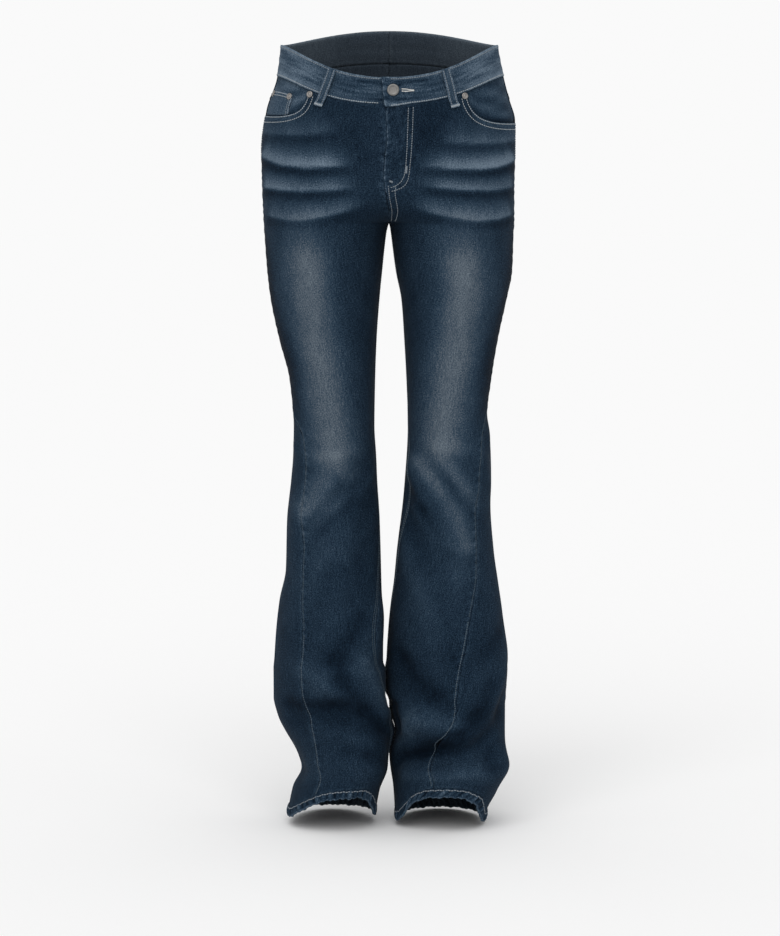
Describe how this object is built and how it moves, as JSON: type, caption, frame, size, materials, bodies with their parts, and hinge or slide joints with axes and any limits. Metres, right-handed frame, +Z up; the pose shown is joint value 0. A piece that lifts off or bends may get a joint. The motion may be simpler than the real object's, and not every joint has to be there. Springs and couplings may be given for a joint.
{
  "type": "worn low-rise flared jeans",
  "caption": "Low-rise flared jeans in dark stonewashed denim, hanging as worn with nobody inside: open waist, open hems that rise over the instep, fastened button.",
  "frame": {"origin": "centre of the waist, level with the waist edge at the side seams", "axes": "+X towards the wearer's left (right in the picture), -Y towards the front, +Z up; the legs hang along -Z"},
  "size_m": [0.352, 0.2313, 1.1131],
  "materials": {
    "denim": "matt twill, indigo, faded on the thighs",
    "washed_denim": "matt twill, indigo, lighter from washing",
    "hem_denim": "matt twill, roped and worn pale along the fold",
    "silver_metal": "satin, slightly aged"
  },
  "bodies": {
    "root": {"front_left": "denim", "front_right": "denim", "flare_panel_left": "denim", "flare_panel_right": "denim", "back_left": "denim", "back_right": "denim", "yoke_left": "denim", "yoke_right": "denim", "pocket_facing_left": "washed_denim", "pocket_facing_right": "washed_denim", "coin_pocket": "washed_denim", "waistband_left": "washed_denim", "waistband_right": "washed_denim", "belt_loop_front_left": "washed_denim", "belt_loop_front_right": "washed_denim", "belt_loop_back_left": "washed_denim", "belt_loop_back_right": "washed_denim", "belt_loop_back_centre": "washed_denim", "back_pocket_left": "denim", "back_pocket_right": "denim", "hem_left": "hem_denim", "hem_right": "hem_denim", "button": "silver_metal", "rivet_pocket_left": "silver_metal", "rivet_pocket_right": "silver_metal", "rivet_coin_inner": "silver_metal", "rivet_coin_outer": "silver_metal"}
  },
  "joints": []
}
